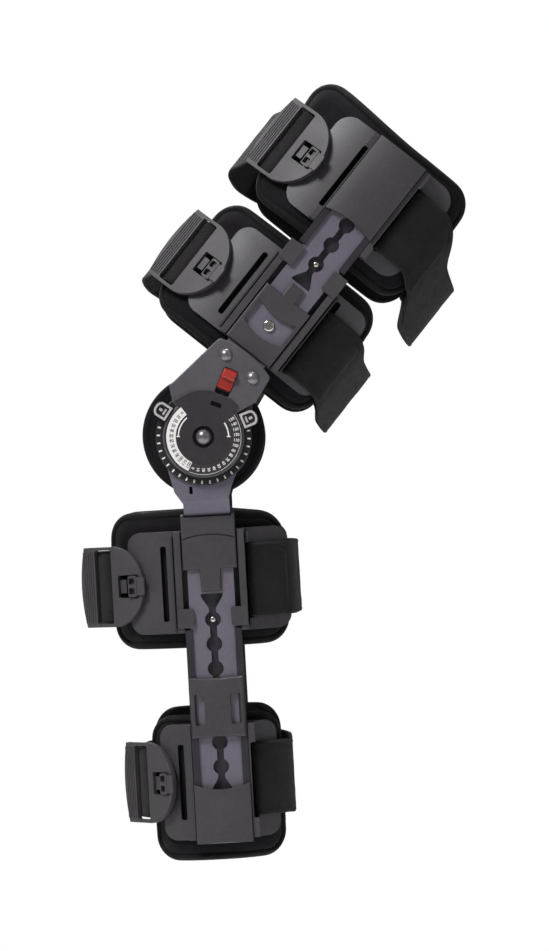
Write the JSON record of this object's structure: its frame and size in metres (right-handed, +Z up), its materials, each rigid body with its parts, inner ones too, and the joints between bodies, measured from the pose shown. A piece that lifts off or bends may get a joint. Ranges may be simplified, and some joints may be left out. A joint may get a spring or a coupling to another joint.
{
  "type": "hinged knee brace",
  "caption": "Post-operative knee brace: telescoping side struts with dial hinges, padded cuffs and quick-release straps.",
  "frame": {"origin": "on the knee hinge axis, midway between the lateral and the medial hinge", "axes": "+Z up along the calf section towards the knee, -X to the front of the knee, -Y to the lateral side that carries the buckles; the thigh section leans back by 41.4 degrees of flexion"},
  "size_m": [0.2865, 0.1824, 0.5135],
  "materials": {
    "cover_plastic": "satin, fine grain",
    "dial_plastic": "glossy, printed scale",
    "ring_plastic": "matte",
    "stop_plastic": "matte with light outline",
    "lock_red": "gloss",
    "rivet_steel": "dark, polished domes",
    "pin_steel": "bright",
    "strut_metal": "anodised, bead blasted",
    "channel_metal": "satin black",
    "foam_fabric": "black laminated foam",
    "strap_webbing": "black loop pile",
    "buckle_plastic": "satin",
    "mount_plastic": "satin, fine grain"
  },
  "bodies": {
    "thigh": {"hinge_cover_lateral": "cover_plastic", "hinge_cover_medial": "cover_plastic", "range_dials": "dial_plastic", "tick_rings": "ring_plastic", "hinge_back_plates": "strut_metal", "pivot_rivets": "rivet_steel", "cover_rivets": "rivet_steel", "condyle_pads": "foam_fabric", "thigh_strut_lateral": "strut_metal", "thigh_strut_medial": "strut_metal", "thigh_strut_screws": "pin_steel", "thigh_lower_mount_lateral": "mount_plastic", "thigh_lower_mount_medial": "mount_plastic", "thigh_lower_pads": "foam_fabric", "thigh_lower_front_strap": "strap_webbing", "thigh_lower_rear_strap": "strap_webbing"},
    "thigh_upper": {"thigh_channel_lateral": "channel_metal", "thigh_channel_medial": "channel_metal", "thigh_upper_mount_lateral": "mount_plastic", "thigh_upper_mount_medial": "mount_plastic", "thigh_upper_pads": "foam_fabric", "thigh_upper_front_strap": "strap_webbing", "thigh_upper_rear_strap": "strap_webbing"},
    "calf": {"calf_strut_lateral": "strut_metal", "calf_strut_medial": "strut_metal", "calf_upper_mount_lateral": "mount_plastic", "calf_upper_mount_medial": "mount_plastic", "calf_upper_pads": "foam_fabric", "calf_upper_front_strap": "strap_webbing", "calf_upper_rear_strap": "strap_webbing"},
    "calf_lower": {"calf_channel_lateral": "channel_metal", "calf_channel_medial": "channel_metal", "calf_sleeves": "mount_plastic", "calf_lower_mount_lateral": "mount_plastic", "calf_lower_mount_medial": "mount_plastic", "calf_lower_pads": "foam_fabric", "calf_lower_front_strap": "strap_webbing", "calf_lower_rear_strap": "strap_webbing"},
    "extension_stop_lateral": {"extension_stop_lateral": "stop_plastic"},
    "flexion_stop_lateral": {"flexion_stop_lateral": "stop_plastic"},
    "drop_lock_lateral": {"drop_lock_lateral": "lock_red"},
    "thigh_length_button_lateral": {"thigh_length_button_lateral": "pin_steel"},
    "calf_length_button_lateral": {"calf_length_button_lateral": "pin_steel"},
    "extension_stop_medial": {"extension_stop_medial": "stop_plastic"},
    "flexion_stop_medial": {"flexion_stop_medial": "stop_plastic"},
    "drop_lock_medial": {"drop_lock_medial": "lock_red"},
    "thigh_length_button_medial": {"thigh_length_button_medial": "pin_steel"},
    "calf_length_button_medial": {"calf_length_button_medial": "pin_steel"},
    "thigh_upper_buckle": {"thigh_upper_buckle": "buckle_plastic"},
    "thigh_upper_latch": {"thigh_upper_latch": "buckle_plastic"},
    "thigh_lower_buckle": {"thigh_lower_buckle": "buckle_plastic"},
    "thigh_lower_latch": {"thigh_lower_latch": "buckle_plastic"},
    "calf_upper_buckle": {"calf_upper_buckle": "buckle_plastic"},
    "calf_upper_latch": {"calf_upper_latch": "buckle_plastic"},
    "calf_lower_buckle": {"calf_lower_buckle": "buckle_plastic"},
    "calf_lower_latch": {"calf_lower_latch": "buckle_plastic"}
  },
  "joints": [
    {"name": "knee_flexion", "type": "hinge", "parent": "thigh", "child": "calf", "pos_m": [0, 0, 0], "axis": [0, -1, 0], "range_deg": [-41.4, 48.6]},
    {"name": "thigh_length", "type": "slide", "parent": "thigh", "child": "thigh_upper", "axis": [0.6613, 0, 0.7501], "range_m": [0, 0.0495]},
    {"name": "calf_length", "type": "slide", "parent": "calf", "child": "calf_lower", "axis": [0, 0, -1], "range_m": [0, 0.066]},
    {"name": "extension_stop_lateral_setting", "type": "hinge", "parent": "thigh", "child": "extension_stop_lateral", "pos_m": [0, -0.085, 0], "axis": [0, -1, 0], "range_deg": [0, 80]},
    {"name": "flexion_stop_lateral_setting", "type": "hinge", "parent": "thigh", "child": "flexion_stop_lateral", "pos_m": [0, -0.085, 0], "axis": [0, 1, 0], "range_deg": [0, 90]},
    {"name": "drop_lock_lateral_slide", "type": "slide", "parent": "thigh", "child": "drop_lock_lateral", "axis": [-0.4352, 0, -0.9003], "range_m": [0, 0.004]},
    {"name": "thigh_length_button_lateral_press", "type": "slide", "parent": "thigh_upper", "child": "thigh_length_button_lateral", "axis": [0, 1, 0], "range_m": [0, 0.0012], "stiffness_N_per_m": 600, "springref_m": -0.0004},
    {"name": "calf_length_button_lateral_press", "type": "slide", "parent": "calf_lower", "child": "calf_length_button_lateral", "axis": [0, 1, 0], "range_m": [0, 0.0008], "stiffness_N_per_m": 600, "springref_m": -0.0004},
    {"name": "extension_stop_medial_setting", "type": "hinge", "parent": "thigh", "child": "extension_stop_medial", "pos_m": [0, 0.085, 0], "axis": [0, -1, 0], "range_deg": [0, 80]},
    {"name": "flexion_stop_medial_setting", "type": "hinge", "parent": "thigh", "child": "flexion_stop_medial", "pos_m": [0, 0.085, 0], "axis": [0, 1, 0], "range_deg": [0, 90]},
    {"name": "drop_lock_medial_slide", "type": "slide", "parent": "thigh", "child": "drop_lock_medial", "axis": [-0.4352, 0, -0.9003], "range_m": [0, 0.004]},
    {"name": "thigh_length_button_medial_press", "type": "slide", "parent": "thigh_upper", "child": "thigh_length_button_medial", "axis": [0, -1, 0], "range_m": [0, 0.0012], "stiffness_N_per_m": 600, "springref_m": -0.0004},
    {"name": "calf_length_button_medial_press", "type": "slide", "parent": "calf_lower", "child": "calf_length_button_medial", "axis": [0, -1, 0], "range_m": [0, 0.0008], "stiffness_N_per_m": 600, "springref_m": -0.0004},
    {"name": "thigh_upper_buckle_swing", "type": "hinge", "parent": "thigh_upper", "child": "thigh_upper_buckle", "pos_m": [0.05851, -0.05158, 0.20371], "axis": [-0.6613, 0, -0.7501], "range_deg": [0, 35]},
    {"name": "thigh_upper_latch_press", "type": "slide", "parent": "thigh_upper_buckle", "child": "thigh_upper_latch", "axis": [-0.6347, 0.5329, 0.5596], "range_m": [0, 0.002], "stiffness_N_per_m": 400, "springref_m": -0.0004},
    {"name": "thigh_lower_buckle_swing", "type": "hinge", "parent": "thigh", "child": "thigh_lower_buckle", "pos_m": [-0.01149, -0.04953, 0.13211], "axis": [-0.6613, 0, -0.7501], "range_deg": [0, 35]},
    {"name": "thigh_lower_latch_press", "type": "slide", "parent": "thigh_lower_buckle", "child": "thigh_lower_latch", "axis": [-0.6203, 0.5623, 0.5469], "range_m": [0, 0.002], "stiffness_N_per_m": 400, "springref_m": -0.0004},
    {"name": "calf_upper_buckle_swing", "type": "hinge", "parent": "calf", "child": "calf_upper_buckle", "pos_m": [-0.08379, -0.03186, -0.0978], "axis": [0, 0, -1], "range_deg": [0, 35]},
    {"name": "calf_upper_latch_press", "type": "slide", "parent": "calf_upper_buckle", "child": "calf_upper_latch", "axis": [-0.8269, 0.5623, 0], "range_m": [0, 0.002], "stiffness_N_per_m": 400, "springref_m": -0.0004},
    {"name": "calf_lower_buckle_swing", "type": "hinge", "parent": "calf_lower", "child": "calf_lower_buckle", "pos_m": [-0.06253, -0.03256, -0.2315], "axis": [0, 0, -1], "range_deg": [0, 35]},
    {"name": "calf_lower_latch_press", "type": "slide", "parent": "calf_lower_buckle", "child": "calf_lower_latch", "axis": [-0.6442, 0.7648, 0], "range_m": [0, 0.002], "stiffness_N_per_m": 400, "springref_m": -0.0004}
  ]
}
